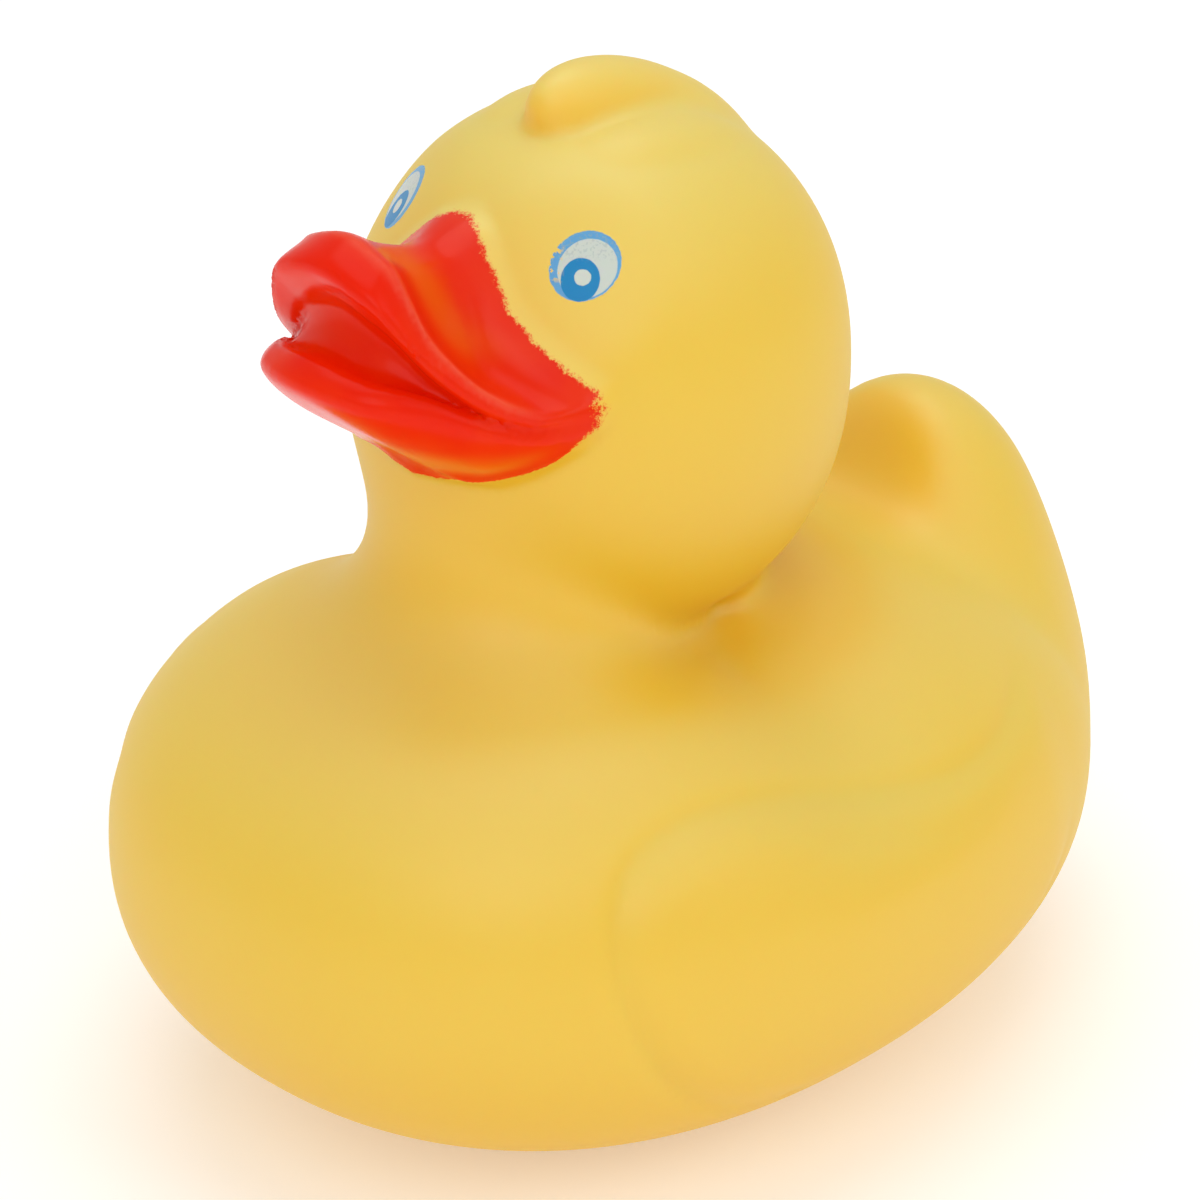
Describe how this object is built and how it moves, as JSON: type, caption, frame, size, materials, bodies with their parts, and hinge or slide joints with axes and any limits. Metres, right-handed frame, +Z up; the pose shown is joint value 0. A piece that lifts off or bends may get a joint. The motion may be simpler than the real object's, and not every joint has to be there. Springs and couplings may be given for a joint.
{
  "type": "rubber duck",
  "caption": "Hollow soft vinyl bath duck with an open beak, swept crest, wings in low relief, an upturned tail and a squeaker pressed into its flat base.",
  "frame": {"origin": "centre of the duck's bounding box at the flat base", "axes": "+Z up, -Y forward along the beak, +X to the duck's own left"},
  "size_m": [0.0698, 0.0944, 0.088],
  "materials": {
    "yellow_vinyl": "satin",
    "squeaker_plastic": "satin",
    "reed_film": "gloss"
  },
  "bodies": {
    "root": {"duck_body": "yellow_vinyl", "squeaker_plug": "squeaker_plastic", "squeaker_reed_holder": "squeaker_plastic", "squeaker_reed": "reed_film"}
  },
  "joints": []
}
